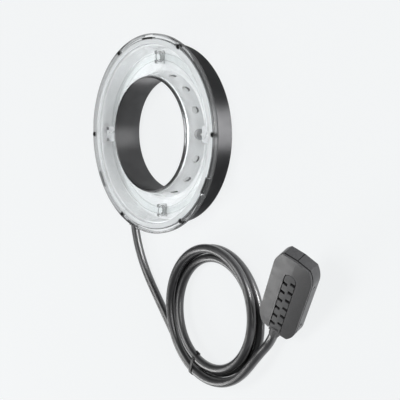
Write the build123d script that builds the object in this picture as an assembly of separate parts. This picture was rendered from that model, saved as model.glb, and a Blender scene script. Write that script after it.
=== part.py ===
"""Ring flash head with its cord and plug, lying on its back.

Millimetres, +Z towards the subject, origin at the bore centre on the rear face.
+X points to one of the six cover screws, the cord leaves on the -X -Y side.
"""
import math
import os

from build123d import *

os.makedirs("parts", exist_ok=True)

# Ring: driving sizes
BORE_R = 45.0
SLEEVE_WALL = 0.8
LIP = 0.3
LIP_T = 0.4
BODY_R = 73.0
BODY_WALL = 1.4
REAR_WALL = 2.2
OVERHANG = 7.0
COVER_TOP = 24.4
COVER_SKIN = 1.8
RING_T = 1.4
GASKET_T = 0.6
FLANGE_T = 0.8
RIM_WALL = 2.1
RIM_DROP = 3.8
COVER_EDGE = 1.5
SLEEVE_R = BORE_R + SLEEVE_WALL
LIP_R = SLEEVE_R + LIP
SLEEVE_TOP = COVER_TOP + LIP_T
COVER_R = BODY_R + OVERHANG
SKIN_Z = COVER_TOP - COVER_SKIN
RING_Z = SKIN_Z - RING_T
WALL_TOP = RING_Z - GASKET_T - FLANGE_T

# Cover screws, the clear ring they bite in and the ribbed strips
SCREW_R = COVER_R - 2.8
SCREW_COUNT = 6
HEAD_R = 1.95
HEAD_SINK = 1.0
SHANK_R = 1.0
RING_R = BODY_R + 3.5
BOSS_R = 2.4
BOSS_DROP = 1.8
STRIP_ANGLES = (90, 210, 330)
STRIP_ARC = 10.5
STRIP_IN = COVER_R - 4.4
STRIP_OUT = COVER_R - 2.8
STRIP_RISE = 1.2
RIB_PITCH = 1.8
RIB_DEPTH = 0.6
WINDOW_GAP = 0.15
WINDOW_OUT = COVER_R - 1.0

# Reflector trough
SHEET = 0.8
FLOOR_Z = 7.5
INNER_TOP_R = SLEEVE_R + 1.2
INNER_FOOT_R = SLEEVE_R + 5.6
OUTER_FOOT_R = BODY_R - 4.0
OUTER_TOP_R = BODY_R - BODY_WALL - SHEET - 0.1

# Flash tubes, sockets and clips
TUBE_OD = 7.0
TUBE_R = INNER_FOOT_R + 0.6 * (OUTER_FOOT_R - INNER_FOOT_R)
TUBE_Z = FLOOR_Z + 5.5
TUBE_WALL = 1.0
TUBE_END = 4.9
SOCKET_END = 3.5
BLOCK_IN = TUBE_R - 4.5
BLOCK_OUT = OUTER_FOOT_R - 1.0
BLOCK_W = 12.8
BLOCK_TOP = TUBE_Z + 4.0
CLIP_W = TUBE_OD + 3.4
CLIP_T = 3.0
CLIP_TOP = TUBE_Z + 2.5
TERM_R = BLOCK_OUT - 1.7
TERM_Y = 4.8

# Modelling lamps on the sleeve
LAMP_STEP = 22.5
LAMP_Z = 13.4
LAMP_HOLE_R = 3.1
LAMP_R = 2.7
LAMP_REACH = 2.2
LAMP_ROUND = 0.7
FLEX_T = 0.3
FLEX_W = 9.0
GROMMET_R = 4.2
GROMMET_Z = TUBE_Z
LEAD_R = 0.8
LEAD_RUN_R = SLEEVE_R + 1.7

# Electronics and rear wall
BOARD_Z = 3.2
BOARD_T = 1.6
BOARD_FROM = -140
BOARD_TO = -40
BOARD_IN = SLEEVE_R + 0.8
BOARD_OUT = BODY_R - 4.0
INSERT_PCD = 122.0
INSERT_BOSS_R = 4.5
INSERT_ANGLES = (90, 210, 330)
INSERT_R = 2.8
THREAD_R = 1.65
INSERT_L = 5.0
POST_ANGLES = (20, 60, 120, 160, 198, 342)

# Cord
CORD_R = 3.5
CORD_GAP = 0.6
CORD_Z = CORD_R + CORD_GAP
GLAND_ANGLE = -130
GLAND_AIM = -86
GLAND_Z = 6.5
GLAND_FROM = 6.0
GLAND_TO = 14.0
GLAND_TIP = 22.0
CORE_Z = BOARD_Z + BOARD_T + LEAD_R
COIL_X = 54.7
COIL_Y = -139.7
COIL_LOW_R = 54.6
COIL_TOP_R = 45.75
COIL_SHIFT_X = 4.5
COIL_SHIFT_Y = 3.05
COIL_OVAL = 1.5
COIL_FLARE = 2.2
COIL_START = -141.0
COIL_TURNS = 3.286
IN_RATE = 7.6
OUT_RATE = 7.5
LAYER = 7.45
CLIMB_AT = 1.62
CLIMB_TURNS = 0.5
TIE_TURN = 0.086
TIE_T = 0.7
TIE_GAP = 0.32
TIE_W = 2.4

# Plug, drawn flat in its own frame and tilted at the end
PLUG_L = 75.0
PLUG_W = 31.2
PLUG_D = 10.8
PLUG_RIDGE = 0.6
PLUG_V = 1.1
PLUG_CORNER_R = 19.0
PLUG_CORNER_Y = 25.1
PLUG_SHELL = 1.8
FACE_T = 1.2
FOOT_DROP = 4.6
BOOT_W = 9.0
BOOT_GAP = 0.5
TROUGH_W = BOOT_W + 2 * BOOT_GAP + 2.0
BOOT_FLOOR = -5.0
BOOT_TOP_Y = 19.3
BOOT_END_Y = -44.0
BOOT_AXIS = -2.3
SLOT_PITCH = 8.9
SLOT_COUNT = 6
SLOT_L = 2.8
SLOT_REACH = 3.6
SLOT_SHIFT = 3.2
PLUG_AT = (151.3, -111.3, 25.1)
PLUG_X = (0.8073, -0.5121, -0.2935)
PLUG_N = (0.0528, -0.4326, 0.9001)


def ring(r_in, r_out, z0, z1):
    face = Circle(r_out) - Circle(r_in)
    return Pos(0, 0, z0) * extrude(face, z1 - z0)


def turned(points):
    """Solid of revolution from (radius, z) corners."""
    return revolve(make_face(Plane.XZ * Polyline(*points, close=True)), Axis.Z)


def sector(r_in, r_out, z0, z1, a0, a1):
    """Ring segment between two angles in degrees."""
    face = make_face(Plane.XZ * Polyline((r_in, z0), (r_out, z0), (r_out, z1), (r_in, z1), close=True))
    return Rot(0, 0, a0) * revolve(face, Axis.Z, a1 - a0)


def tube_arc(radius, centre_r, z, a0, a1):
    """Round bar bent on a circle about the bore axis."""
    face = Plane.XZ * Pos(centre_r, z) * Circle(radius)
    return Rot(0, 0, a0) * revolve(face, Axis.Z, a1 - a0)


def polar(r, angle, z=0.0):
    return Pos(r * math.cos(math.radians(angle)), r * math.sin(math.radians(angle)), z)


def pin(r, z0, z1):
    return Pos(0, 0, z0) * Cylinder(r, z1 - z0, align=(Align.CENTER, Align.CENTER, Align.MIN))


def block(x0, x1, y0, y1, z0, z1):
    return Pos(x0, y0, z0) * Box(x1 - x0, y1 - y0, z1 - z0, align=(Align.MIN,) * 3)


def rod(start, direction, r, length):
    """Cylinder from a point along a direction."""
    return extrude(Plane(origin=start, z_dir=direction) * Circle(r), length)


def screw_angles():
    return [360 / SCREW_COUNT * i for i in range(SCREW_COUNT)]


def lamp_angles():
    return [LAMP_STEP * i for i in range(16) if i % 8]


def gland_line():
    """Point on the body wall and direction of the cord where it leaves."""
    a = math.radians(GLAND_ANGLE)
    b = math.radians(GLAND_AIM)
    start = Vector(BODY_R * math.cos(a), BODY_R * math.sin(a), GLAND_Z)
    return start, Vector(math.cos(b), math.sin(b), 0)


# Rear housing
def gland_boss():
    start, aim = gland_line()
    boss = rod(start - aim * 6, aim, 6.0, 6 + GLAND_TO)
    return boss - pin(BODY_R - BODY_WALL, -1, 30)


def make_rear_housing():
    body = ring(SLEEVE_R, BODY_R, 0, REAR_WALL) + ring(BODY_R - BODY_WALL, BODY_R, 0, WALL_TOP)
    edge = body.edges().filter_by(GeomType.CIRCLE).filter_by(lambda e: abs(e.radius - BODY_R) < 1e-6)
    body = chamfer(edge.sort_by(Axis.Z)[0], 0.6)
    body = body + [polar(TUBE_R - 1, a) * pin(2.5, REAR_WALL, FLOOR_Z - SHEET) for a in POST_ANGLES]
    boss_top = INSERT_L + 1
    body = body + [polar(INSERT_PCD / 2, a) * pin(INSERT_BOSS_R, REAR_WALL, boss_top) for a in INSERT_ANGLES]
    body = body + [polar((BOARD_IN + BOARD_OUT) / 2, a) * pin(2, REAR_WALL, BOARD_Z) for a in (-132, -90, -48)]
    body = body + gland_boss()
    start, aim = gland_line()
    body = body - [polar(INSERT_PCD / 2, a) * pin(INSERT_R, 0, INSERT_L) for a in INSERT_ANGLES]
    body = body - rod(start + aim * GLAND_FROM, aim, 5.0, 20)
    for side in (-1, 1):
        body = body - rod(core_start(side), -aim, LEAD_R, 16)
    return body


# Bore sleeve, cover, gasket and reflector
def make_bore_sleeve():
    tube = ring(BORE_R, SLEEVE_R, 0, SLEEVE_TOP) + ring(SLEEVE_R - 0.1, LIP_R, COVER_TOP, SLEEVE_TOP)
    edges = tube.edges().filter_by(GeomType.CIRCLE).filter_by(lambda e: abs(e.radius - BORE_R) < 1e-6)
    return chamfer(edges.sort_by(Axis.Z)[-1], 0.25)


def strip_body(angle, inner, outer, z0, z1, play=0.0):
    half = STRIP_ARC / 2 + math.degrees(play / outer)
    return sector(inner, outer, z0, z1, angle - half, angle + half)


def make_front_cover():
    skin = ring(SLEEVE_R, COVER_R, SKIN_Z, COVER_TOP)
    rim = ring(COVER_R - RIM_WALL, COVER_R, COVER_TOP - RIM_DROP, COVER_TOP)
    cover = skin + rim
    edge = cover.edges().filter_by(GeomType.CIRCLE).filter_by(lambda e: abs(e.radius - COVER_R) < 1e-6)
    cover = fillet(edge.sort_by(Axis.Z)[-1], COVER_EDGE)
    for a in screw_angles():
        cover -= polar(SCREW_R, a) * pin(SHANK_R, SKIN_Z - 1, COVER_TOP)
        cover -= polar(SCREW_R, a) * pin(BOSS_R, COVER_TOP - RIM_DROP - 1, SKIN_Z)
        cover -= polar(SCREW_R, a) * pin(HEAD_R, COVER_TOP - HEAD_SINK, COVER_TOP + 1)
    for a in STRIP_ANGLES:
        cover -= strip_body(a, STRIP_IN - WINDOW_GAP, WINDOW_OUT, SKIN_Z - 9, COVER_TOP + 1, WINDOW_GAP)
    return cover


def make_screw_ring():
    """Clear ring under the cover: it lies on the gasket and takes the screws."""
    body = ring(BODY_R - BODY_WALL, RING_R, RING_Z, SKIN_Z)
    for a in screw_angles():
        arm = block(RING_R - 1, SCREW_R, -BOSS_R, BOSS_R, RING_Z, SKIN_Z)
        body += Rot(0, 0, a) * arm
        body += polar(SCREW_R, a) * pin(BOSS_R, SKIN_Z - RING_T - BOSS_DROP, SKIN_Z)
    for a in screw_angles():
        body -= polar(SCREW_R, a) * pin(SHANK_R, RING_Z - BOSS_DROP, SKIN_Z)
    for a in STRIP_ANGLES:
        body -= strip_body(a, STRIP_IN, STRIP_OUT + 1, RING_Z - 1, SKIN_Z + 1)
    return body


def make_ribbed_strips():
    strips = []
    step = math.degrees(RIB_PITCH / STRIP_OUT)
    count = int(STRIP_ARC / step)
    for angle in STRIP_ANGLES:
        body = strip_body(angle, STRIP_IN, STRIP_OUT, RING_Z, SKIN_Z + STRIP_RISE)
        start = angle - (count - 1) * step / 2
        for i in range(count):
            a = start + i * step
            body -= sector(STRIP_OUT - RIB_DEPTH, STRIP_OUT + 1, RING_Z - 1, COVER_TOP + 1, a - step / 4, a + step / 4)
        strips.append(body)
    return Compound(strips)


def make_reflector():
    top = WALL_TOP
    front = [(INNER_TOP_R, SKIN_Z), (INNER_FOOT_R, FLOOR_Z + 1.2), (INNER_FOOT_R + 2.6, FLOOR_Z)]
    front += [(OUTER_FOOT_R - 0.6, FLOOR_Z), (OUTER_FOOT_R + 0.4, FLOOR_Z + 1.2), (OUTER_TOP_R, top + FLANGE_T)]
    back = [(BODY_R, top + FLANGE_T), (BODY_R, top), (OUTER_TOP_R + SHEET, top)]
    back += [(OUTER_FOOT_R + 1.25, FLOOR_Z + 0.9), (OUTER_FOOT_R - 0.3, FLOOR_Z - SHEET)]
    back += [(INNER_FOOT_R + 2.3, FLOOR_Z - SHEET), (INNER_FOOT_R - 0.8, FLOOR_Z + 0.8), (INNER_TOP_R - SHEET, SKIN_Z)]
    bowl = turned(front + back)
    reach = INNER_FOOT_R - SLEEVE_R + 2
    bowl -= [Rot(0, 0, a) * rod((SLEEVE_R, 0, LAMP_Z), (1, 0, 0), LAMP_HOLE_R, reach) for a in lamp_angles()]
    bowl -= [Rot(0, 0, a) * rod((SLEEVE_R, 0, GROMMET_Z), (1, 0, 0), GROMMET_R, reach) for a in (0, 180)]
    return bowl


# Flash tubes and what holds them
def make_flash_tube(start):
    a0 = start + TUBE_END
    a1 = start + 180 - TUBE_END
    glass = tube_arc(TUBE_OD / 2, TUBE_R, TUBE_Z, a0, a1)
    return glass - tube_arc(TUBE_OD / 2 - TUBE_WALL, TUBE_R, TUBE_Z, a0 + 1, a1 - 1)


def make_electrodes():
    spans = ((SOCKET_END, TUBE_END), (180 - TUBE_END, 180 - SOCKET_END))
    spans += ((180 + SOCKET_END, 180 + TUBE_END), (360 - TUBE_END, 360 - SOCKET_END))
    return Compound([tube_arc(2.4, TUBE_R, TUBE_Z, a, b) for a, b in spans])


def make_tube_socket(angle):
    body = block(BLOCK_IN, BLOCK_OUT, -BLOCK_W / 2, BLOCK_W / 2, FLOOR_Z, BLOCK_TOP)
    body = fillet(body.edges().filter_by(Axis.Z), 1.5)
    for side in (-1, 1):
        span = sorted((side * SOCKET_END, side * 12))
        body -= tube_arc(TUBE_OD / 2, TUBE_R, TUBE_Z, *span)
        body -= Pos(TERM_R, side * TERM_Y, 0) * pin(0.9, FLOOR_Z, BLOCK_TOP + 1)
    return Rot(0, 0, angle) * body


def make_terminal_screws():
    screws = []
    for angle in (0, 180):
        for side in (-1, 1):
            head = pin(1.4, BLOCK_TOP, BLOCK_TOP + 0.9) - block(-2, 2, -0.2, 0.2, BLOCK_TOP + 0.4, BLOCK_TOP + 2)
            screw = head + pin(0.9, FLOOR_Z, BLOCK_TOP)
            screws.append(Rot(0, 0, angle) * Pos(TERM_R, side * TERM_Y, 0) * screw)
    return Compound(screws)


def make_tube_clip(angle):
    r0 = TUBE_R - CLIP_W / 2
    body = block(r0, r0 + CLIP_W, -CLIP_T / 2, CLIP_T / 2, FLOOR_Z, CLIP_TOP)
    body = fillet(body.edges().filter_by(Axis.Y).group_by(Axis.Z)[-1], 1.2)
    return Rot(0, 0, angle) * (body - tube_arc(TUBE_OD / 2, TUBE_R, TUBE_Z, -6, 6))


# Modelling lamps and leads
def make_lamp_strip():
    return ring(SLEEVE_R, SLEEVE_R + FLEX_T, LAMP_Z - FLEX_W / 2, LAMP_Z + FLEX_W / 2)


def make_lamps():
    lamps = []
    foot = SLEEVE_R + FLEX_T
    for a in lamp_angles():
        base = block(foot - 0.2, foot + 0.8, -1.7, 1.7, LAMP_Z - 1.7, LAMP_Z + 1.7) - pin(foot, 0, 30)
        dome = rod((foot + 0.6, 0, LAMP_Z), (1, 0, 0), LAMP_R, LAMP_REACH)
        dome = fillet(dome.edges().sort_by(Axis.X)[-1], LAMP_ROUND)
        lamps.append(Rot(0, 0, a) * (base + dome))
    return Compound(lamps)


def make_lead_grommets():
    grommets = []
    for a in (0, 180):
        body = rod((LEAD_RUN_R + LEAD_R + 0.3, 0, GROMMET_Z), (1, 0, 0), GROMMET_R, 3.0)
        grommets.append(Rot(0, 0, a) * (body - rod((LEAD_RUN_R, 0, GROMMET_Z), (1, 0, 0), LEAD_R, 3 * GROMMET_R)))
    return Compound(grommets)


def make_tube_leads():
    """Two insulated leads: board edge, up behind the reflector, out to a socket."""
    leads = []
    z_low = BOARD_Z + LEAD_R
    for angle, end in ((0, BOARD_TO), (180, BOARD_FROM + 360)):
        inner = rod((LEAD_RUN_R, 0, GROMMET_Z), (1, 0, 0), LEAD_R, BLOCK_IN - LEAD_RUN_R)
        rise = Pos(LEAD_RUN_R, 0, 0) * pin(LEAD_R, z_low, GROMMET_Z)
        turns = Pos(LEAD_RUN_R, 0, z_low) * Sphere(LEAD_R) + Pos(LEAD_RUN_R, 0, GROMMET_Z) * Sphere(LEAD_R)
        lead = Rot(0, 0, angle) * (inner + rise + turns)
        leads.append(lead + tube_arc(LEAD_R, LEAD_RUN_R, z_low, min(angle, end), max(angle, end)))
    return Compound(leads)


# Screws and inserts
def make_cover_screws():
    screws = []
    under = COVER_TOP - HEAD_SINK
    for a in screw_angles():
        head = fillet(pin(HEAD_R, under, COVER_TOP + 0.35).edges().sort_by(Axis.Z)[-1], 0.3)
        head -= block(-1.1, 1.1, -0.22, 0.22, COVER_TOP - 0.3, 30)
        head -= block(-0.22, 0.22, -1.1, 1.1, COVER_TOP - 0.3, 30)
        screws.append(polar(SCREW_R, a) * (head + pin(SHANK_R, RING_Z - BOSS_DROP + 0.4, under)))
    return Compound(screws)


def make_inserts():
    sleeve = pin(INSERT_R, 0, INSERT_L) - pin(THREAD_R, 0, INSERT_L)
    return Compound([polar(INSERT_PCD / 2, a) * sleeve for a in INSERT_ANGLES])


# Board and what stands on it
def make_control_board():
    board = sector(BOARD_IN, BOARD_OUT, BOARD_Z, BOARD_Z + BOARD_T, BOARD_FROM, BOARD_TO)
    return board


def make_trigger_coil():
    top = BOARD_Z + BOARD_T
    base = block(BOARD_IN + 0.4, BOARD_IN + 3.4, -6, 6, top, top + 2.8)
    base = fillet(base.edges().filter_by(Axis.Z), 0.6)
    return Rot(0, 0, -60) * base


def make_board_parts():
    """Thyristor, capacitor and socket as low blocks soldered on the board."""
    top = BOARD_Z + BOARD_T
    parts = [Rot(0, 0, -105) * block(BOARD_OUT - 11, BOARD_OUT - 3, -5, 5, top, top + 1.7)]
    parts.append(Rot(0, 0, -75) * block(BOARD_OUT - 13, BOARD_OUT - 3, -3, 3, top, top + 1.7))
    parts.append(Rot(0, 0, -52) * block(BOARD_OUT - 12, BOARD_OUT - 4, -2.5, 2.5, top, top + 1.5))
    return Compound(parts)


def make_heat_sensor():
    return polar(TUBE_R + 1, -90) * pin(2.0, BOARD_Z + BOARD_T, FLOOR_Z - SHEET)


# Cord at the ring
def core_start(side):
    """Start of one core on the cord's end face inside the strain relief."""
    start, aim = gland_line()
    across = Vector(-aim.Y, aim.X, 0)
    point = start + aim * (GLAND_FROM + 1) + across * (side * 1.2)
    return Vector(point.X, point.Y, CORE_Z)


def make_cord_gland():
    start, aim = gland_line()
    root = rod(start + aim * GLAND_FROM, aim, 5.0, GLAND_TO - GLAND_FROM)
    low = Plane(origin=start + aim * GLAND_TO, z_dir=aim)
    high = Plane(origin=start + aim * GLAND_TIP, z_dir=aim)
    taper = loft([low * Circle(5.4), high * Circle(CORD_R + 0.6)])
    sleeve = root + taper
    sleeve -= rod(start + aim * (GLAND_FROM + 1), aim, CORD_R, 40)
    for side in (-1, 1):
        sleeve -= rod(core_start(side), -aim, LEAD_R, 5)
    return sleeve


def make_cord_cores():
    start, aim = gland_line()
    return Compound([rod(core_start(side), -aim, LEAD_R, 20) for side in (-1, 1)])


# Coil of the cord
def coil_point(t):
    """Centreline after t turns: in on the lower layer, out on the upper one."""
    a = math.radians(COIL_START + 360 * t)
    s = min(max((t - CLIMB_AT) / CLIMB_TURNS, 0), 1)
    s = s ** 3 * (s * (6 * s - 15) + 10)
    r_low = COIL_LOW_R - IN_RATE * (t - 0.14)
    r_high = COIL_TOP_R + OUT_RATE * (t - 2.14) + COIL_SHIFT_X * math.cos(a) + COIL_SHIFT_Y * math.sin(a)
    flare = COIL_FLARE * math.sin(math.pi * min(max((t - 2.78) / 0.72, 0), 1)) ** 2
    r = (1 - s) * r_low + s * r_high - COIL_OVAL * math.cos(a) ** 2 + flare
    return Vector(COIL_X + r * math.cos(a), COIL_Y + r * math.sin(a), CORD_Z + LAYER * s)


def coil_heading(t):
    step = coil_point(t + 1e-4) - coil_point(t - 1e-4)
    return step.normalized()


def biarc(p0, d0, p1, d1):
    """Two tangent arcs that leave p0 along d0 and reach p1 along d1."""
    gap = p1 - p0
    both = d0 + d1
    a = 2 * (d0.dot(d1) - 1)
    b = -2 * gap.dot(both)
    c = gap.dot(gap)
    reach = (-b - math.sqrt(b * b - 4 * a * c)) / (2 * a)
    q0 = p0 + d0 * reach
    q1 = p1 - d1 * reach
    mid = (q0 + q1) * 0.5
    return [TangentArc([p0, mid], tangent=d0), TangentArc([mid, p1], tangent=q1 - q0)]


def coil_path():
    count = 26
    stops = [COIL_TURNS * i / count for i in range(count + 1)]
    first = coil_point(0)
    last = coil_point(COIL_TURNS)
    edges = [Line(first - coil_heading(0) * 2 * CORD_R, first)]
    for t0, t1 in zip(stops, stops[1:]):
        edges += biarc(coil_point(t0), coil_heading(t0), coil_point(t1), coil_heading(t1))
    edges.append(Line(last, last + coil_heading(COIL_TURNS) * 2 * CORD_R))
    return Wire(edges)


def report_tube(name, solid, length):
    want = math.pi * CORD_R ** 2 * length
    print(name, "length %.1f" % length, "volume ratio %.4f" % (solid.volume / want))


def make_cord_coil():
    path = coil_path()
    tube = sweep(Plane(origin=path @ 0, z_dir=path % 0) * Circle(CORD_R), path=path)
    report_tube("cord_coil", tube, path.length)
    count = 700
    points = [path @ (i / count) for i in range(count + 1)]
    skip = int(count * 0.1)
    least = min((p - q).length for i, p in enumerate(points) for q in points[i + skip:])
    print("cord_coil least gap to itself %.2f" % (least - 2 * CORD_R))
    return tube


def make_cord_tie():
    """Tie round the bundle with its twisted tail on the inner side."""
    a = math.radians(COIL_START + 360 * TIE_TURN)
    out = Vector(math.cos(a), math.sin(a), 0)
    along = Vector(-math.sin(a), math.cos(a), 0)
    centre = Vector(COIL_X, COIL_Y, 0)
    spots = [coil_point(TIE_TURN + n) for n in range(4)]
    flat = [((p - centre).dot(out), p.Z) for p in spots]
    plane = Plane(origin=centre + along * TIE_W / 2, x_dir=out, z_dir=-along)
    sign = 1 if plane.y_dir.Z > 0 else -1
    inner = make_hull([e for x, z in flat for e in (Pos(x, sign * z) * Circle(CORD_R + TIE_GAP)).edges()])
    outer = make_hull([e for x, z in flat for e in (Pos(x, sign * z) * Circle(CORD_R + TIE_T)).edges()])
    band = extrude(plane * (outer - inner), TIE_W)
    x_in = min(x for x, z in flat) - CORD_R - TIE_T
    root = centre + out * (x_in + 0.3) + Vector(0, 0, CORD_Z + 5)
    tail = rod(root, Vector(0, 0, 0.75) - out * 0.66, 0.9, 5.0)
    x_out = max(x for x, z in flat) + CORD_R
    knob = rod(centre + out * (x_out + TIE_T + 0.6) + Vector(0, 0, CORD_Z - 2), Vector(0, 0, 1), 0.9, 3.0)
    return band + tail + knob


# Free stretches of the cord
def cord_stretch(name, points):
    runs = [(q - p).length for p, q in zip(points, points[1:])]
    radii = []
    for i in range(1, len(points) - 1):
        d0 = (points[i] - points[i - 1]).normalized()
        d1 = (points[i + 1] - points[i]).normalized()
        turn = math.acos(max(-1, min(1, d0.dot(d1))))
        radii.append(0.45 * min(runs[i - 1], runs[i]) / math.tan(turn / 2))
    path = FilletPolyline(*points, radius=radii)
    tube = sweep(Plane(origin=path @ 0, z_dir=path % 0) * Circle(CORD_R), path=path)
    print(name, "radii", [round(r, 1) for r in radii])
    report_tube(name, tube, path.length)
    return tube


def ring_stretch_points():
    start, aim = gland_line()
    heading = coil_heading(0)
    end = coil_point(0) - heading * 2 * CORD_R
    corner = coil_point(0) - heading * 37.7
    first = start + aim * 27
    second = Vector(first.X + 9.0, first.Y - 31.2, CORD_Z)
    return [start + aim * (GLAND_FROM + 1), first, second, corner, end]


def plug_stretch_points():
    heading = coil_heading(COIL_TURNS)
    begin = coil_point(COIL_TURNS) + heading * 2 * CORD_R
    place = plug_frame()
    mouth = place.from_local_coords(Vector(0, BOOT_END_Y, BOOT_AXIS))
    inside = place.from_local_coords(Vector(0, BOOT_END_Y + 7.5, BOOT_AXIS))
    bend = mouth + (mouth - inside).normalized() * 9
    return [begin, begin + heading * 11, bend, inside]


# Plug
def plug_frame():
    return Plane(origin=PLUG_AT, x_dir=PLUG_X, z_dir=PLUG_N)


def plug_outline(inset=0.0):
    """Long sides straight, corners on large arcs, both ends a shallow V."""
    half_w = PLUG_W / 2 - inset
    turn = math.radians(42)
    r = PLUG_CORNER_R - inset
    xc = half_w - r * (1 - math.cos(turn))
    yc = PLUG_CORNER_Y + r * math.sin(turn)
    mid = (half_w - r * (1 - math.cos(turn / 2)), PLUG_CORNER_Y + r * math.sin(turn / 2))
    tip = yc + PLUG_V
    edges = []
    for sy in (1, -1):
        for sx in (1, -1):
            edges.append(ThreePointArc((sx * half_w, sy * PLUG_CORNER_Y), (sx * mid[0], sy * mid[1]), (sx * xc, sy * yc)))
            edges.append(Line((sx * xc, sy * yc), (0, sy * tip)))
    edges.append(Line((half_w, -PLUG_CORNER_Y), (half_w, PLUG_CORNER_Y)))
    edges.append(Line((-half_w, -PLUG_CORNER_Y), (-half_w, PLUG_CORNER_Y)))
    return make_face(edges)


def ridge_prism(low, top):
    """Bar along the plug with a ridge on top, to cut the face to two planes."""
    fall = PLUG_RIDGE / (PLUG_W / 2) * 30
    profile = Polyline((-30, low), (30, low), (30, top - fall), (0, top), (-30, top - fall), close=True)
    return Pos(0, 60, 0) * extrude(Plane.XZ * make_face(profile), 120)


def trough_outer(grow=0.0):
    w = TROUGH_W / 2 + grow
    body = block(-w, w, -50, BOOT_TOP_Y, BOOT_FLOOR - 1.3, 3)
    return body + Pos(0, BOOT_TOP_Y, 0) * pin(w, BOOT_FLOOR - 1.3, 3)


def boot_channel():
    w = BOOT_W / 2 + BOOT_GAP
    return block(-w, w, -60, BOOT_TOP_Y, BOOT_FLOOR, 4) + Pos(0, BOOT_TOP_Y, 0) * pin(w, BOOT_FLOOR, 4)


def make_plug_face():
    face = Pos(0, 0, -FACE_T) * extrude(plug_outline(), FACE_T + PLUG_RIDGE)
    lip = Pos(0, 0, -FACE_T - 1.4) * extrude(plug_outline(PLUG_SHELL) - plug_outline(PLUG_SHELL + 1.2), 1.4)
    trough = trough_outer() & (Pos(0, 0, -20) * extrude(plug_outline(), 30))
    face = (face + lip + trough) & ridge_prism(-20, PLUG_RIDGE)
    return face - boot_channel() - rod((0, -60, BOOT_AXIS), (0, 1, 0), 5.0, 25)


def make_plug_rear():
    body = Pos(0, 0, -PLUG_D) * extrude(plug_outline(), PLUG_D - FACE_T)
    body = chamfer(body.faces().sort_by(Axis.Z)[0].edges(), 0.5)
    body -= Pos(0, 0, -PLUG_D + 2) * extrude(plug_outline(PLUG_SHELL), PLUG_D)
    body -= block(-8, 8, -25, 15, -PLUG_D - 1, -PLUG_D + 3)
    body -= trough_outer()
    body -= rod((0, -60, BOOT_AXIS), (0, 1, 0), 5.0, 25)
    for y in (-21, 21):
        body += rod((9.5, y, -5.0), (1, 0, 0), 2.0, 5)
        body -= rod((14.6, y, -5.0), (1, 0, 0), 1.5, 5)
        body -= rod((9.5, y, -5.0), (1, 0, 0), 0.8, 6)
    return body


def make_contact_block():
    foot = block(-8, 8, -25, 15, -PLUG_D - FOOT_DROP, -PLUG_D + 2)
    foot = fillet(foot.edges().filter_by(Axis.Z), 1.0)
    foot = fillet(foot.faces().sort_by(Axis.Z)[0].edges(), 0.5)
    flange = block(-9.2, 9.2, -27, 17, -PLUG_D + 2, -PLUG_D + 3.5)
    body = foot + flange
    corner = block(-8, 8, -25, 15, -PLUG_D, -PLUG_D + 2)
    body = body + corner
    for x, y in pin_spots():
        body -= Pos(x, y, 0) * pin(0.8, -30, 0)
    return body


def pin_spots():
    return [(x, y) for x in (-4, 0, 4) for y in (-8, -1, 6)][:7]


def make_contact_pins():
    return Compound([Pos(x, y, 0) * pin(0.8, -PLUG_D - 5.7, -PLUG_D + 3.5) for x, y in pin_spots()])


def make_plug_board():
    board = block(-9.3, 9.3, -28, 26, -PLUG_D + 3.5, BOOT_FLOOR - 1.3)
    return board


def make_plug_screws():
    screws = []
    for y in (-21, 21):
        head = rod((14.6, y, -5.0), (1, 0, 0), 1.5, 0.6) - block(15.0, 17, y - 0.2, y + 0.2, -7, -3)
        screws.append(head + rod((9.5, y, -5.0), (1, 0, 0), 0.8, 5.1))
    return Compound(screws)


def make_plug_boot():
    """Slotted strain relief in the channel, ridged like the face, with a round end."""
    w = BOOT_W / 2
    low = BOOT_END_Y + 4
    body = block(-w, w, low, BOOT_TOP_Y, BOOT_FLOOR, 3)
    body += Pos(0, BOOT_TOP_Y, 0) * pin(w, BOOT_FLOOR, 3)
    body = body & ridge_prism(-20, PLUG_RIDGE - 0.15)
    neck = rod((0, BOOT_END_Y, BOOT_AXIS), (0, 1, 0), CORD_R + 0.7, 8)
    neck = chamfer(neck.edges().sort_by(Axis.Y)[0], 0.4)
    body += neck & block(-w, w, BOOT_END_Y - 1, low + 5, BOOT_FLOOR - 2, PLUG_RIDGE + 2)
    first = BOOT_TOP_Y - 5.7
    for i in range(SLOT_COUNT):
        for side in (-1, 1):
            y = first - i * SLOT_PITCH + (SLOT_SHIFT if side > 0 else 0)
            x0, x1 = sorted((side * (w - SLOT_REACH), side * (w + 1)))
            body -= block(x0, x1, y - SLOT_L / 2, y + SLOT_L / 2, BOOT_FLOOR + 1.2, 5)
    body -= rod((0, BOOT_END_Y - 1, BOOT_AXIS), (0, 1, 0), CORD_R, 8.5)
    return body


PLUG_NODES = {
    "plug_face": make_plug_face,
    "plug_rear": make_plug_rear,
    "plug_boot": make_plug_boot,
    "contact_block": make_contact_block,
    "contact_pins": make_contact_pins,
    "plug_board": make_plug_board,
    "plug_screws": make_plug_screws,
}

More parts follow.
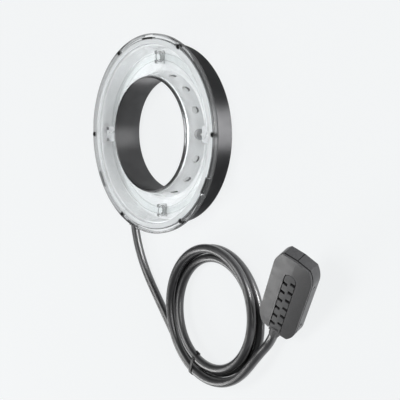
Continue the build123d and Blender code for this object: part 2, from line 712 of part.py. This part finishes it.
RING_NODES = {
    "rear_housing": make_rear_housing,
    "bore_sleeve": make_bore_sleeve,
    "front_cover": make_front_cover,
    "screw_ring": make_screw_ring,
    "ribbed_strips": make_ribbed_strips,
    "cover_gasket": lambda: ring(BODY_R - BODY_WALL, BODY_R, WALL_TOP + FLANGE_T, WALL_TOP + FLANGE_T + GASKET_T),
    "reflector": make_reflector,
    "flash_tube_upper": lambda: make_flash_tube(0),
    "flash_tube_lower": lambda: make_flash_tube(180),
    "tube_electrodes": make_electrodes,
    "tube_socket_right": lambda: make_tube_socket(0),
    "tube_socket_left": lambda: make_tube_socket(180),
    "terminal_screws": make_terminal_screws,
    "tube_clip_upper": lambda: make_tube_clip(90),
    "tube_clip_lower": lambda: make_tube_clip(270),
    "lamp_strip": make_lamp_strip,
    "modelling_lamps": make_lamps,
    "lead_grommets": make_lead_grommets,
    "tube_leads": make_tube_leads,
    "cover_screws": make_cover_screws,
    "bracket_inserts": make_inserts,
    "control_board": make_control_board,
    "board_parts": make_board_parts,
    "trigger_coil": make_trigger_coil,
    "heat_sensor": make_heat_sensor,
    "cord_gland": make_cord_gland,
    "cord_cores": make_cord_cores,
    "cord_coil": make_cord_coil,
    "cord_tie": make_cord_tie,
    "cord_from_ring": lambda: cord_stretch("cord_from_ring", ring_stretch_points()),
    "cord_to_plug": lambda: cord_stretch("cord_to_plug", plug_stretch_points()),
}


def main():
    for name, make in RING_NODES.items():
        export_step(make(), "parts/%s.step" % name)
    for name, make in PLUG_NODES.items():
        export_step(plug_frame().location * make(), "parts/%s.step" % name)


main()
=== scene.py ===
"""Ring flash head on a pale floor: camera, cord, wire hoops, edges, materials and lamps."""
import math

import bpy
from mathutils import Matrix, Vector


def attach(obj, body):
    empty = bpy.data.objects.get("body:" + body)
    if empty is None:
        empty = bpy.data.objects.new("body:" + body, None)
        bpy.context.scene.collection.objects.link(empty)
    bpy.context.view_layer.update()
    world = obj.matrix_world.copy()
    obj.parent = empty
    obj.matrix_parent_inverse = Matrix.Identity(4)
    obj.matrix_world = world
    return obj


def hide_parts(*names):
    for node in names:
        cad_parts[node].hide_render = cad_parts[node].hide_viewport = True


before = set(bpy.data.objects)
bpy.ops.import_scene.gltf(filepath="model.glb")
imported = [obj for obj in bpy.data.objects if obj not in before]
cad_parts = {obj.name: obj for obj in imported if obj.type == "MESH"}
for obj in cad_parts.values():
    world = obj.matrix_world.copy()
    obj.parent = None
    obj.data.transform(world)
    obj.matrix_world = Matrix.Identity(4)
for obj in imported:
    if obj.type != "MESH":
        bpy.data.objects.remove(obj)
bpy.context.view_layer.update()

MM = 0.001  # sizes below are in millimetres where they are multiplied by this


def add_object(name, data):
    """New object in the scene's collection."""
    made = bpy.data.objects.new(name, data)
    bpy.context.collection.objects.link(made)
    return made


def polar(radius, degrees, height=0.0):
    """Point at an angle round the ring's axis."""
    a = math.radians(degrees)
    return Vector((radius * math.cos(a), radius * math.sin(a), height))


# Camera, fitted to the outlines and the screws of the ring in the photograph
LENS = 81.0
SENSOR_WIDTH = 36.0
CAMERA_AT = (0.5761, 0.0101, 0.4643)
CAMERA_RIGHT = (0.65123414, -0.01078824, -0.75880017)
CAMERA_UP = (-0.05918113, 0.99613179, -0.06495424)
CAMERA_BACK = (0.75656572, 0.08720707, 0.64807657)
CLIP_NEAR = 0.01
CLIP_FAR = 20


def place_camera():
    data = bpy.data.cameras.new("camera")
    data.lens = LENS
    data.sensor_width = SENSOR_WIDTH
    data.clip_start = CLIP_NEAR
    data.clip_end = CLIP_FAR
    cam = add_object("camera", data)
    turn = Matrix((CAMERA_RIGHT, CAMERA_UP, CAMERA_BACK)).transposed().to_4x4()
    cam.matrix_world = Matrix.Translation(CAMERA_AT) @ turn
    bpy.context.scene.camera = cam


place_camera()

# Cord, in millimetres, degrees and turns, as in the construction model: out of the strain relief
# at the ring, down to the floor, inwards on the coil's lower layer, outwards on the upper one,
# and up into the plug
CORD_R = 3.5
CORD_Z = 4.1
ROUNDING = 8
STEPS_BETWEEN_POINTS = 6

# Out of the ring and down to the coil
HOUSING_R = 73
EXIT_ANGLE = -130
EXIT_AIM = -86
EXIT_Z = 6.5
EXIT_FROM = 7
EXIT_STRAIGHT = 27
FLOOR_STEP = (9.0, -31.2)
COIL_RUN_IN = 37.7
COIL_RUN_OUT = 18

# Coil: radii shrink on the lower layer and grow on the upper one, whose middle lies aside;
# the last turn flares out before it leaves, and all turns are a little narrower in X
COIL_CENTRE = (54.7, -139.7)
COIL_START = -141.0
COIL_TURNS = 3.286
STEPS_PER_TURN = 24
LAYER_FROM, LAYER_OVER, LAYER_RISE = 1.62, 0.5, 7.45
LOW_R, LOW_PER_TURN, LOW_AT = 54.4, 7.2, 0.14
HIGH_R, HIGH_PER_TURN, HIGH_AT = 44.4, 8.6, 2.14
HIGH_SHIFT = (4.5, 3.05)
FLARE, FLARE_FROM, FLARE_OVER = 2.3, 2.7, 0.8
OVAL = 1.5
SMALL_STEP = 0.001
# A spline of order 3 runs inside its points, at this share of their radius
SPLINE_SHARE = 0.75 + 0.25 * math.cos(2 * math.pi / STEPS_PER_TURN)

# Plug: the centre of its face, and its own directions
PLUG_AT = Vector((151.3, -111.3, 25.1))
PLUG_X = Vector((0.8073, -0.5121, -0.2935)).normalized()
PLUG_Z = Vector((0.0528, -0.4326, 0.9001)).normalized()
PLUG_Y = PLUG_Z.cross(PLUG_X).normalized()
PLUG_MOUTH = (0, -44, -2.3)
MOUTH_BEFORE = 9
MOUTH_INSIDE = 7.5


def share(value, start, length):
    """How far a value has come from its start, from 0 to 1."""
    return min(max((value - start) / length, 0), 1)


def coil_point(t):
    """Point on the coil after t turns."""
    a = math.radians(COIL_START + 360 * t)
    s = share(t, LAYER_FROM, LAYER_OVER)
    s = s ** 3 * (s * (6 * s - 15) + 10)  # starts and ends level
    low = LOW_R - LOW_PER_TURN * (t - LOW_AT)
    high = (HIGH_R + HIGH_PER_TURN * (t - HIGH_AT)
            + HIGH_SHIFT[0] * math.cos(a) + HIGH_SHIFT[1] * math.sin(a))
    flare = FLARE * math.sin(math.pi * share(t, FLARE_FROM, FLARE_OVER)) ** 2
    r = (1 - s) * low + s * high - OVAL * math.cos(a) ** 2 + flare
    r /= SPLINE_SHARE
    return Vector((COIL_CENTRE[0] + r * math.cos(a), COIL_CENTRE[1] + r * math.sin(a),
                   CORD_Z + LAYER_RISE * s))


def coil_heading(t):
    """Direction of the cord on the coil, from t to a small step later."""
    return (coil_point(t + SMALL_STEP) - coil_point(t)).normalized()


def plug_point(x, y, z):
    """Point given in the plug's own directions."""
    return PLUG_AT + PLUG_X * x + PLUG_Y * y + PLUG_Z * z


def cord_route():
    """Points of the cord's spline, in metres, from the ring to the plug."""
    wall = polar(HOUSING_R, EXIT_ANGLE, EXIT_Z)
    aim = polar(1, EXIT_AIM)
    first = wall + aim * EXIT_STRAIGHT
    points = [wall + aim * EXIT_FROM, first,
              Vector((first.x + FLOOR_STEP[0], first.y + FLOOR_STEP[1], CORD_Z)),
              coil_point(0) - coil_heading(0) * COIL_RUN_IN]
    count = int(COIL_TURNS * STEPS_PER_TURN)
    points += [coil_point(COIL_TURNS * i / count) for i in range(count + 1)]
    points.append(points[-1] + coil_heading(COIL_TURNS - SMALL_STEP) * COIL_RUN_OUT)
    mouth = plug_point(*PLUG_MOUTH)
    points += [mouth - PLUG_Y * MOUTH_BEFORE, mouth + PLUG_Y * MOUTH_INSIDE]
    return [p * MM for p in points]


def make_cord():
    """The whole cord as one piece, instead of the three stretches of the frame."""
    curve = bpy.data.curves.new("cord_jacket", "CURVE")
    curve.dimensions = "3D"
    curve.bevel_depth = 1.0
    curve.bevel_resolution = ROUNDING
    curve.resolution_u = STEPS_BETWEEN_POINTS
    curve.use_fill_caps = True
    spline = curve.splines.new("NURBS")
    route = cord_route()
    spline.points.add(len(route) - 1)
    for point, place in zip(spline.points, route):
        point.co = (*place, 1)
        point.radius = CORD_R * MM
    spline.order_u = 3
    spline.use_endpoint_u = True
    jacket = add_object("cord_jacket", curve)
    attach(jacket, "root")
    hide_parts("cord_from_ring", "cord_coil", "cord_to_plug")
    return jacket


cord = make_cord()

# Wire hoops that hold the flash tubes in their two clips, in millimetres
TUBE_R = 61.96
TUBE_Z = 13.0
HOOP_R = 4.1
WIRE_R = 0.3
WIRE_SIDES = 10
HOOP_STEPS = 48
HOOP_SHIFT = 2.3
HOOP_OPEN_BELOW = 3.3
FOOT_LENGTH = 1.1
HOOP_SMOOTH_ANGLE = math.radians(40)


def deselect():
    for other in bpy.context.selected_objects:
        other.select_set(False)


def make_hoop(name, angle, side):
    """Wire bent round the tube, with its two ends let into the side of the clip."""
    deselect()
    along = polar(1, angle + 90) * side
    centre = (polar(TUBE_R, angle, TUBE_Z) + along * HOOP_SHIFT) * MM
    bpy.ops.mesh.primitive_torus_add(
        major_radius=HOOP_R * MM, minor_radius=WIRE_R * MM, major_segments=HOOP_STEPS,
        minor_segments=WIRE_SIDES, location=centre,
        rotation=(math.pi / 2, 0, math.radians(angle)))
    hoop = bpy.context.active_object
    hoop.name = hoop.data.name = name
    bpy.ops.object.transform_apply(location=True, rotation=True, scale=True)
    bpy.ops.object.mode_set(mode="EDIT")
    bpy.ops.mesh.select_all(action="SELECT")
    bpy.ops.mesh.bisect(plane_co=(0, 0, (TUBE_Z - HOOP_OPEN_BELOW) * MM), plane_no=(0, 0, 1),
                        clear_inner=True)
    bpy.ops.mesh.select_all(action="DESELECT")
    bpy.ops.mesh.select_non_manifold()
    foot = tuple(along * -FOOT_LENGTH * MM)
    bpy.ops.mesh.extrude_edges_move(TRANSFORM_OT_translate={"value": foot})
    bpy.ops.mesh.select_all(action="SELECT")
    bpy.ops.mesh.fill_holes(sides=0)
    bpy.ops.mesh.normals_make_consistent(inside=False)
    bpy.ops.object.mode_set(mode="OBJECT")
    bpy.ops.object.shade_smooth_by_angle(angle=HOOP_SMOOTH_ANGLE)
    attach(hoop, "root")
    return hoop


hoops = [make_hoop("tube_hoop_upper", 90, -1), make_hoop("tube_hoop_lower", 270, 1)]
deselect()

# Moulded pieces whose edges are broken as the real ones are: widths in millimetres
EDGE_WIDTHS = {"plug_face": 0.35, "plug_rear": 0.35, "plug_boot": 0.25, "contact_block": 0.3}
EDGE_SEGMENTS = 2
EDGE_ANGLE = math.radians(38)
WELD_REACH = 0.01
FLAT_WEIGHT = 90


def soften(name, width):
    """Break a piece's edges; the weld joins its faces first."""
    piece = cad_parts[name]
    weld = piece.modifiers.new("weld", "WELD")
    weld.merge_threshold = WELD_REACH * MM
    edge = piece.modifiers.new("edge", "BEVEL")
    edge.width = width * MM
    edge.segments = EDGE_SEGMENTS
    edge.limit_method = "ANGLE"
    edge.angle_limit = EDGE_ANGLE
    edge.harden_normals = True
    flat = piece.modifiers.new("flat", "WEIGHTED_NORMAL")
    flat.weight = FLAT_WEIGHT


for piece_name, edge_width in EDGE_WIDTHS.items():
    soften(piece_name, edge_width)


# Parts that the materials share. A tone is one grey value or three channels.
def rgba(tone):
    return (*tone, 1) if isinstance(tone, tuple) else (tone, tone, tone, 1)


def new_material(name):
    mat = bpy.data.materials.new(name)
    mat.use_nodes = True
    mat.node_tree.nodes.clear()
    return mat, mat.node_tree


def node(tree, kind, **values):
    """New node; each value goes to the input of that name, or else to the setting."""
    made = tree.nodes.new(kind)
    for key, value in values.items():
        if key in made.inputs:
            made.inputs[key].default_value = value
        else:
            setattr(made, key, value)
    return made


def principled(tree, **values):
    return node(tree, "ShaderNodeBsdfPrincipled", **values)


def fill(tree, made, values):
    """Give a node's inputs, in their order, a fixed value or another node's socket each."""
    for socket, value in zip(made.inputs, values):
        if isinstance(value, bpy.types.NodeSocket):
            tree.links.new(value, socket)
        else:
            socket.default_value = value
    return made


def math_of(tree, operation, *values):
    return fill(tree, node(tree, "ShaderNodeMath", operation=operation), values).outputs[0]


def vector_math(tree, operation, *values):
    return fill(tree, node(tree, "ShaderNodeVectorMath", operation=operation), values).outputs


def mix_shaders(tree, factor, first, second):
    mix = tree.nodes.new("ShaderNodeMixShader")
    return fill(tree, mix, (factor, first, second)).outputs["Shader"]


def output(tree, shader, kind="ShaderNodeOutputMaterial"):
    tree.links.new(shader, tree.nodes.new(kind).inputs["Surface"])


def object_coords(tree, scale=(1, 1, 1)):
    coords = tree.nodes.new("ShaderNodeTexCoord")
    mapping = node(tree, "ShaderNodeMapping", Scale=scale)
    tree.links.new(coords.outputs["Object"], mapping.inputs["Vector"])
    return mapping.outputs["Vector"]


def noise(tree, vector, scale, detail=3.0):
    made = node(tree, "ShaderNodeTexNoise", Scale=scale, Detail=detail)
    tree.links.new(vector, made.inputs["Vector"])
    return made.outputs["Fac"]


NOISE_LOW, NOISE_HIGH = 0.3, 0.7
DARK_UP_TO, LIGHT_FROM = 0.35, 0.65


def spread(tree, value, low, high):
    """Take the middle of a noise to the range from low to high."""
    made = node(tree, "ShaderNodeMapRange", **{
        "From Min": NOISE_LOW, "From Max": NOISE_HIGH, "To Min": low, "To Max": high})
    tree.links.new(value, made.inputs["Value"])
    return made.outputs["Result"]


def tone_ramp(tree, value, stops):
    """Colour by value; each stop is a position from 0 to 1 and a tone."""
    made = tree.nodes.new("ShaderNodeValToRGB")
    elements = made.color_ramp.elements
    for index, (position, tone) in enumerate(stops):
        element = elements[index] if index < 2 else elements.new(1.0)
        element.position = position
        element.color = rgba(tone)
    tree.links.new(value, made.inputs["Fac"])
    return made.outputs["Color"]


def two_tone(tree, value, dark, light):
    return tone_ramp(tree, value, ((DARK_UP_TO, dark), (LIGHT_FROM, light)))


def bump(tree, height, distance):
    made = node(tree, "ShaderNodeBump", Distance=distance, Strength=1.0)
    tree.links.new(height, made.inputs["Height"])
    return made.outputs["Normal"]


def multiplied(tree, first, second):
    """Product of two colours."""
    made = node(tree, "ShaderNodeMix", data_type="RGBA", blend_type="MULTIPLY")
    made.inputs["Factor"].default_value = 1.0
    tree.links.new(first, made.inputs[6])
    tree.links.new(second, made.inputs[7])
    return made.outputs[2]


def dress(tree, shader, colour, rough, normal=None):
    """Link a shader's colour, roughness and bump."""
    tree.links.new(colour, shader.inputs["Base Color"])
    tree.links.new(rough, shader.inputs["Roughness"])
    if normal:
        tree.links.new(normal, shader.inputs["Normal"])


RAMP_REACH = 100  # millimetres from the axis at a ramp's end


def by_radius(tree, vector, stops):
    """Tone that changes with the distance from the ring's axis; stops in millimetres."""
    flat = vector_math(tree, "MULTIPLY", vector, (1, 1, 0))["Vector"]
    reach = vector_math(tree, "LENGTH", flat)["Value"]
    scaled = math_of(tree, "MULTIPLY", reach, 1 / (RAMP_REACH * MM))
    return tone_ramp(tree, scaled, [(radius / RAMP_REACH, tone) for radius, tone in stops])


def edge_tone(tree, *stops):
    """Tone that changes with the slant at which a surface is seen."""
    slant = node(tree, "ShaderNodeLayerWeight", Blend=0.5)
    return tone_ramp(tree, slant.outputs["Facing"], stops)


# Materials. The scale of a noise says how many patches fit in a metre, and roughness varies a
# little about its value. Bump depths are in metres.
TONE_SCALE, GLOSS_SCALE = 35, 120
PLUG_GRAIN_SCALE, PLUG_GLOSS_SCALE, PLUG_GRAIN_DEPTH = 1400, 150, 0.00002
TURNED_TONE_SCALE, TURNED_GLOSS_SCALE = 30, 90
RINGS_SCALE, RINGS_DEPTH = (6, 6, 2400), 0.000004
CLEAR_GLOSS_SCALE, CLEAR_WAVE_SCALE = 60, 18
COVER_WAVE_SCALE, COVER_WAVE_DEPTH = 14, 0.00001
LAMP_LIGHT_LET_THROUGH = 0.97


def moulded(name, dark, light, rough, grain, depth, metallic=0.0, stops=(), **sockets):
    """Moulded or coated surface with a fine grain and slight changes of tone and gloss."""
    mat, tree = new_material(name)
    vector = object_coords(tree)
    shader = principled(tree, Metallic=metallic, **sockets)
    colour = two_tone(tree, noise(tree, vector, TONE_SCALE), dark, light)
    if stops:
        # Stops by distance from the axis multiply the colour; the reflector uses them for a
        # painted shade near the bore
        colour = multiplied(tree, colour, by_radius(tree, vector, stops))
    dress(tree, shader, colour,
          spread(tree, noise(tree, vector, GLOSS_SCALE), rough - 0.04, rough + 0.05),
          bump(tree, noise(tree, vector, grain), depth))
    output(tree, shader.outputs["BSDF"])
    return mat


# Joint of the plug's two halves, and the mould line on its end, in millimetres from its face
JOINT_Z = -1.5
JOINT_HALF_WIDTH = 0.5
MOULD_HALF_WIDTH = 0.3
MOULD_BELOW_Z = -1.2
GAP_TONE = 0.006


def plug_distance(tree, vector, axis, offset=0.0):
    """Distance along one of the plug's own axes, from its face's centre plus the offset."""
    along = vector_math(tree, "DOT_PRODUCT", vector, axis)["Value"]
    return math_of(tree, "SUBTRACT", along, (PLUG_AT.dot(axis) + offset) * MM)


def near_zero(tree, distance, half_width):
    return math_of(tree, "COMPARE", distance, 0.0, half_width * MM)


def plug_plastic(name, dark, light, rough):
    """Fine-grained black plastic, darker in the joint and in the mould line."""
    mat, tree = new_material(name)
    vector = object_coords(tree)
    shader = principled(tree)
    grain = noise(tree, vector, PLUG_GRAIN_SCALE, 2.0)
    dress(tree, shader, two_tone(tree, grain, dark, light),
          spread(tree, noise(tree, vector, PLUG_GLOSS_SCALE), rough - 0.03, rough + 0.04),
          bump(tree, grain, PLUG_GRAIN_DEPTH))
    joint = near_zero(tree, plug_distance(tree, vector, PLUG_Z, JOINT_Z), JOINT_HALF_WIDTH)
    mould = near_zero(tree, plug_distance(tree, vector, PLUG_X), MOULD_HALF_WIDTH)
    below = math_of(tree, "LESS_THAN", plug_distance(tree, vector, PLUG_Z), MOULD_BELOW_Z * MM)
    lines = math_of(tree, "MAXIMUM", joint, math_of(tree, "MULTIPLY", mould, below))
    gap = node(tree, "ShaderNodeBsdfDiffuse", Color=rgba(GAP_TONE))
    output(tree, mix_shaders(tree, lines, shader.outputs["BSDF"], gap.outputs["BSDF"]))
    return mat


def turned_black(name, dark, light, rough, stretch):
    """Black anodised metal with the fine rings that the lathe tool left round it."""
    mat, tree = new_material(name)
    vector = object_coords(tree)
    rings = noise(tree, object_coords(tree, RINGS_SCALE), 1.0, 2.0)
    shader = principled(tree, Metallic=1.0, Anisotropic=stretch,
                        **{"Anisotropic Rotation": 0.25})
    around = node(tree, "ShaderNodeTangent", direction_type="RADIAL", axis="Z")
    tree.links.new(around.outputs["Tangent"], shader.inputs["Tangent"])
    dress(tree, shader, two_tone(tree, noise(tree, vector, TURNED_TONE_SCALE), dark, light),
          spread(tree, noise(tree, vector, TURNED_GLOSS_SCALE), rough - 0.03, rough + 0.03),
          bump(tree, rings, RINGS_DEPTH))
    output(tree, shader.outputs["BSDF"])
    return mat


def clear_output(tree, shader, tint):
    """Let lamps shine through a clear piece, so that what lies behind it is lit."""
    passed = tuple(channel * LAMP_LIGHT_LET_THROUGH for channel in rgba(tint)[:3])
    clear = node(tree, "ShaderNodeBsdfTransparent", Color=rgba(passed))
    path = tree.nodes.new("ShaderNodeLightPath")
    output(tree, mix_shaders(tree, path.outputs["Is Shadow Ray"], shader.outputs["BSDF"],
                             clear.outputs["BSDF"]))


def clear_plastic(name, tint, rough, ior, depth, edge, clarity=1.0, edge_from=0.55):
    """Clear plastic or glass, with a painted shade where it is seen edge on."""
    mat, tree = new_material(name)
    vector = object_coords(tree)
    shader = principled(tree, IOR=ior, **{"Transmission Weight": clarity})
    # Painted shade: the colour darkens where the surface is seen edge on
    dress(tree, shader, edge_tone(tree, (edge_from, tint), (0.98, edge)),
          spread(tree, noise(tree, vector, CLEAR_GLOSS_SCALE), rough * 0.6, rough * 1.4),
          bump(tree, noise(tree, vector, CLEAR_WAVE_SCALE), depth) if depth else None)
    clear_output(tree, shader, tint)
    return mat


# Cover: how clear it is and its tone, by the distance from the axis in millimetres. The tone is a
# little darker in the hazed band and falls to a painted shade along the outer edge of the rounded
# rim.
COVER_TINT = (0.95, 0.96, 0.965)
COVER_EDGE_SHADE = (0.12, 0.122, 0.125)
COVER_CLARITY = ((71.6, 0.94), (72.2, 0.62), (75.2, 0.62), (75.8, 0.95))
COVER_RIM_PAINTED_SHADE = ((71.9, 1.0), (72.3, 0.9), (75.0, 0.9), (75.6, 1.0), (78.0, 1.0), (78.9, 0.3))


def cover_plastic(name):
    """Clear cover: plain over the reflector, hazed in the rim that stands out past the housing,
    with a painted shade along its outer edge and where it is seen edge on.
    """
    mat, tree = new_material(name)
    vector = object_coords(tree)
    shader = principled(tree, IOR=1.12, **{"Coat Weight": 0.35, "Coat Roughness": 0.08})
    clarity = by_radius(tree, vector, COVER_CLARITY)
    tree.links.new(clarity, shader.inputs["Transmission Weight"])
    # Painted shade: the cover's colour darkens where it is seen edge on
    plain = edge_tone(tree, (0.55, COVER_TINT), (0.85, COVER_EDGE_SHADE))
    # Painted shade: the colour darkens towards the outer edge of the rim
    dress(tree, shader, multiplied(tree, plain, by_radius(tree, vector, COVER_RIM_PAINTED_SHADE)),
          spread(tree, noise(tree, vector, CLEAR_GLOSS_SCALE), 0.02, 0.07),
          bump(tree, noise(tree, vector, COVER_WAVE_SCALE), COVER_WAVE_DEPTH))
    clear_output(tree, shader, COVER_TINT)
    return mat


# Each row: dark tone, light tone, roughness, scale of the grain, bump depth, share of metal
MOULDED = {
    "strip_black": (0.012, 0.02, 0.45, 900, 0.00002),
    "electrode_metal": (0.5, (0.62, 0.62, 0.61), 0.3, 500, 0.00001, 1.0),
    "screw_steel": (0.12, 0.2, 0.3, 700, 0.00001, 1.0),
    "hoop_steel": (0.1, 0.16, 0.35, 700, 0.00001, 1.0),
    "screw_black": (0.01, 0.025, 0.35, 700, 0.00001, 0.6),
    "insert_brass": ((0.55, 0.37, 0.13), (0.7, 0.5, 0.2), 0.3, 600, 0.00001, 1.0),
    "strip_pale": ((0.84, 0.84, 0.83), (0.88, 0.88, 0.87), 0.4, 400, 0.00001),
    "lamp_cap": ((0.7, 0.7, 0.69), (0.78, 0.78, 0.77), 0.2, 300, 0.00001),
    "grommet_rubber": (0.2, 0.26, 0.5, 800, 0.00003),
    "gasket_grey": (0.6, 0.68, 0.6, 800, 0.00003),
    "board_green": ((0.01, 0.09, 0.03), (0.02, 0.13, 0.045), 0.35, 600, 0.00002),
    "component_black": (0.015, 0.03, 0.5, 800, 0.00002),
    "wire_white": (0.6, 0.7, 0.4, 800, 0.00002),
    "tie_black": (0.01, 0.02, 0.4, 900, 0.00002),
    "boot_black": ((0.045, 0.045, 0.046), (0.065, 0.065, 0.066), 0.5, 1200, 0.00004),
    "pin_gold": ((0.75, 0.5, 0.17), (0.85, 0.6, 0.25), 0.25, 500, 0.00001, 1.0),
}
JACKET_SOCKETS = {"Specular IOR Level": 0.6, "Coat Weight": 1.0, "Coat Roughness": 0.33}
# Painted shade on the reflector: its colour is darkened towards the bore, where its cone faces the
# lamp on the right and would otherwise be lit too brightly
REFLECTOR_PAINTED_SHADE = ((45.9, 0.4), (47.2, 0.64), (49.0, 0.9), (51.0, 1.0))

# Each row: the function that makes the material, its values in order, and its named values
SPECIAL = {
    "jacket_black": (moulded, ((0.012, 0.012, 0.013), (0.02, 0.02, 0.021), 0.42, 1200, 0.000004),
                     JACKET_SOCKETS),
    "reflector_white": (moulded, ((0.76, 0.765, 0.767), (0.85, 0.853, 0.853), 0.25, 300, 0.00001),
                        {"stops": REFLECTOR_PAINTED_SHADE}),
    "plug_black": (plug_plastic, ((0.012, 0.012, 0.013), (0.028, 0.028, 0.029), 0.34), {}),
    "housing_black": (turned_black, ((0.062, 0.062, 0.064), (0.08, 0.08, 0.082), 0.52, 1.0), {}),
    "sleeve_black": (turned_black, ((0.14, 0.14, 0.142), (0.175, 0.175, 0.178), 0.47, 0.98), {}),
    "cover_clear": (cover_plastic, (), {}),
    "ring_clear": (clear_plastic, ((0.97, 0.975, 0.975), 0.03, 1.03, 0), {"edge": 0.7}),
    "tube_glass": (clear_plastic, ((0.97, 0.98, 0.978), 0.02, 1.045, 0), {"edge": 0.93}),
    "socket_clear": (clear_plastic, ((0.9, 0.905, 0.91), 0.25, 1.15, 0.00002),
                     {"clarity": 0.6, "edge": (0.35, 0.36, 0.37)}),
    "clip_clear": (clear_plastic, (0.88, 0.06, 1.28, 0.00002), {"edge": 0.2, "edge_from": 0.3}),
}

MATERIALS = {name: moulded(name, *row) for name, row in MOULDED.items()}
for special_name, (make, values, named) in SPECIAL.items():
    MATERIALS[special_name] = make(special_name, *values, **named)

# Which pieces of the frame have each material
FINISHES = {
    "housing_black": ["rear_housing"],
    "sleeve_black": ["bore_sleeve"],
    "cover_clear": ["front_cover"],
    "ring_clear": ["screw_ring"],
    "strip_black": ["ribbed_strips"],
    "gasket_grey": ["cover_gasket"],
    "reflector_white": ["reflector"],
    "tube_glass": ["flash_tube_upper", "flash_tube_lower"],
    "electrode_metal": ["tube_electrodes"],
    "socket_clear": ["tube_socket_right", "tube_socket_left"],
    "screw_steel": ["terminal_screws"],
    "clip_clear": ["tube_clip_upper", "tube_clip_lower"],
    "strip_pale": ["lamp_strip"],
    "lamp_cap": ["modelling_lamps"],
    "grommet_rubber": ["lead_grommets"],
    "wire_white": ["tube_leads", "cord_cores"],
    "screw_black": ["cover_screws", "plug_screws"],
    "insert_brass": ["bracket_inserts"],
    "board_green": ["control_board", "plug_board"],
    "component_black": ["board_parts", "trigger_coil", "heat_sensor"],
    "boot_black": ["cord_gland", "plug_boot"],
    "tie_black": ["cord_tie"],
    "plug_black": ["plug_face", "plug_rear", "contact_block"],
    "pin_gold": ["contact_pins"],
}

for finish, piece_names in FINISHES.items():
    for piece_name in piece_names:
        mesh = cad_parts[piece_name].data
        mesh.materials.clear()
        mesh.materials.append(MATERIALS[finish])
cord.data.materials.append(MATERIALS["jacket_black"])
for wire in hoops:
    wire.data.materials.append(MATERIALS["hoop_steel"])

# Floor, lamps and surroundings. The camera, also through clear pieces and in reflections, sees
# the floor mostly as an even glow, and lamps light it for everything else.
FLOOR_HALF = 6.0
FLOOR_TONE = (0.85, 0.855, 0.86)
GLOW_TONE = (0.94, 0.957, 0.965)
GLOW_STRENGTH = 0.97
GLOW_SHARE = 0.9
SKY_TONE, SKY_STRENGTH = (0.95, 0.97, 1.0), 0.12
BACKDROP_TONE = (0.905, 0.922, 0.93)

# Each row: place, the point that it faces and size in metres, and power in watts
LAMPS = {
    "top_lamp": ((-0.25, 0.2, 1.3), (0.03, -0.05, 0), (0.9, 0.5), 9.0),
    "side_lamp": ((1.1, 0.118, 0.33), (0.0, 0.0, 0.012), (0.7, 0.35), 5.8),
    "low_lamp": ((1.126, 0.118, 0.011), (0.0, 0.0, 0.01), (0.9, 0.018), 33),
    "back_lamp": ((-0.71, -0.65, 0.475), (0.151, -0.111, 0.025), (0.62, 0.33), 4.6),
}


def floor_material():
    mat, tree = new_material("floor_pale")
    diffuse = node(tree, "ShaderNodeBsdfDiffuse", Color=rgba(FLOOR_TONE))
    glow = node(tree, "ShaderNodeEmission", Color=rgba(GLOW_TONE), Strength=GLOW_STRENGTH)
    path = tree.nodes.new("ShaderNodeLightPath").outputs
    seen = math_of(tree, "MAXIMUM", path["Is Camera Ray"], path["Is Transmission Ray"])
    seen = math_of(tree, "MAXIMUM", seen, path["Is Glossy Ray"])
    part = math_of(tree, "MULTIPLY", seen, GLOW_SHARE)
    output(tree, mix_shaders(tree, part, diffuse.outputs["BSDF"], glow.outputs["Emission"]))
    return mat


def make_floor():
    mesh = bpy.data.meshes.new("floor")
    s = FLOOR_HALF
    mesh.from_pydata([(-s, -s, 0), (s, -s, 0), (s, s, 0), (-s, s, 0)], [], [(0, 1, 2, 3)])
    mesh.materials.append(floor_material())
    add_object("floor", mesh)


def add_lamp(name, place, target, size, power):
    data = bpy.data.lights.new(name, "AREA")
    data.shape = "RECTANGLE"
    data.size, data.size_y = size
    data.energy = power
    made = add_object(name, data)
    made.location = place
    facing = Vector(target) - Vector(place)
    made.rotation_euler = facing.to_track_quat("-Z", "Y").to_euler()


def make_surroundings():
    """Weak light from all round, and an even backdrop where the camera looks past the floor."""
    world = bpy.data.worlds.new("surroundings")
    bpy.context.scene.world = world
    world.use_nodes = True
    tree = world.node_tree
    tree.nodes.clear()
    soft = node(tree, "ShaderNodeBackground", Color=rgba(SKY_TONE), Strength=SKY_STRENGTH)
    pale = node(tree, "ShaderNodeBackground", Color=rgba(BACKDROP_TONE), Strength=1.0)
    path = tree.nodes.new("ShaderNodeLightPath")
    mix = mix_shaders(tree, path.outputs["Is Camera Ray"], soft.outputs["Background"],
                      pale.outputs["Background"])
    output(tree, mix, "ShaderNodeOutputWorld")


make_floor()
make_surroundings()
for lamp_name, settings in LAMPS.items():
    add_lamp(lamp_name, *settings)
bpy.context.scene.view_settings.view_transform = "Standard"
